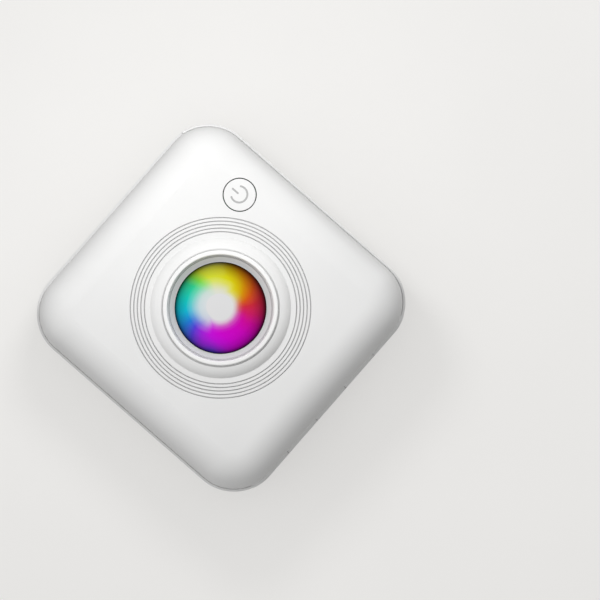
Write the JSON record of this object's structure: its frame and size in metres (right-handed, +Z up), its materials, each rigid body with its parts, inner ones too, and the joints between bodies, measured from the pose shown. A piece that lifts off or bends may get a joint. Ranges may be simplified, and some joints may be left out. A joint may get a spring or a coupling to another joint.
{
  "type": "portable thermal printer",
  "caption": "Palm-sized thermal printer with a rounded box body, a hinged cover carrying the paper roller, a domed lens and a round power button.",
  "frame": {"origin": "centre of the footprint, on the plane under the rubber feet", "axes": "+Z up, +Y towards the paper exit, +X along the paper's width, to the right seen from the exit's far side"},
  "size_m": [0.081, 0.084, 0.043],
  "materials": {
    "white_shell": "smooth satin",
    "dark_plastic": "fine moulded texture",
    "black_plastic": "moulded",
    "gear_plastic": "moulded",
    "lens": "polished, hue-wheel print behind a clear face",
    "rubber": "matte",
    "steel": "plain",
    "aluminium": "plain",
    "ceramic": "glazed",
    "brass": "plain",
    "board": "solder mask",
    "battery_wrap": "foil wrap"
  },
  "bodies": {
    "base": {"base_shell": "white_shell", "rubber_feet": "rubber", "hinge_pin": "steel", "inner_tray": "dark_plastic", "tray_screws": "steel", "paper_sensor": "black_plastic", "battery_pack": "battery_wrap", "main_board": "board", "board_screws": "steel", "board_parts": "black_plastic", "usb_socket": "steel", "usb_tongue": "black_plastic", "print_frame": "steel", "frame_screws": "steel", "head_pivot_rod": "steel", "head_spring": "steel", "tear_bar": "steel", "motor_can": "steel", "gear_studs": "steel", "gear_clips": "steel", "contact_block": "black_plastic", "contact_pins": "brass"},
    "lid": {"lid_cover": "white_shell", "lid_liner": "dark_plastic", "liner_screws": "steel", "lens_bezel": "white_shell", "lens_dome": "lens", "top_board": "board", "top_board_screws": "steel", "switch_housing": "black_plastic", "platen_bushes": "gear_plastic", "contact_pads": "brass"},
    "power_button": {"power_button": "white_shell", "switch_plunger": "black_plastic"},
    "platen": {"platen_roller": "rubber", "platen_shaft": "steel", "platen_gear": "gear_plastic", "shaft_clip": "steel"},
    "motor_rotor": {"motor_shaft": "steel", "pinion_gear": "brass"},
    "reduction": {"reduction_gear": "gear_plastic"},
    "idler": {"idler_gear": "gear_plastic"},
    "print_head": {"head_heat_sink": "aluminium", "head_ceramic": "ceramic"}
  },
  "joints": [
    {"name": "lid_hinge", "type": "hinge", "parent": "base", "child": "lid", "pos_m": [0, -0.0402, 0.026], "axis": [1, 0, 0], "range_deg": [0, 95]},
    {"name": "button_press", "type": "slide", "parent": "lid", "child": "power_button", "axis": [0, 0, -1], "range_m": [0, 0.0005], "stiffness_N_per_m": 1500, "springref_m": -0.0007},
    {"name": "platen_spin", "type": "hinge", "parent": "lid", "child": "platen", "pos_m": [0, 0.0285, 0.0295], "axis": [1, 0, 0], "continuous": true},
    {"name": "idler_spin", "type": "hinge", "parent": "base", "child": "idler", "pos_m": [0, 0.0285, 0.021], "axis": [1, 0, 0], "continuous": true},
    {"name": "reduction_spin", "type": "hinge", "parent": "base", "child": "reduction", "pos_m": [0, 0.02305, 0.01585], "axis": [1, 0, 0], "continuous": true},
    {"name": "motor_spin", "type": "hinge", "parent": "base", "child": "motor_rotor", "pos_m": [0, 0.0305, 0.0108], "axis": [1, 0, 0], "continuous": true},
    {"name": "head_tilt", "type": "hinge", "parent": "base", "child": "print_head", "pos_m": [0, 0.0342, 0.0224], "axis": [1, 0, 0], "range_deg": [0, 2.5], "stiffness_Nm_per_rad": 0.3, "springref_deg": -3.44, "deforming": ["head_spring"]}
  ],
  "couplings": [
    {"joint": "idler_spin", "follows": "platen_spin", "ratio": -0.88889},
    {"joint": "reduction_spin", "follows": "platen_spin", "ratio": 1.3333},
    {"joint": "motor_spin", "follows": "platen_spin", "ratio": -2.6667}
  ]
}
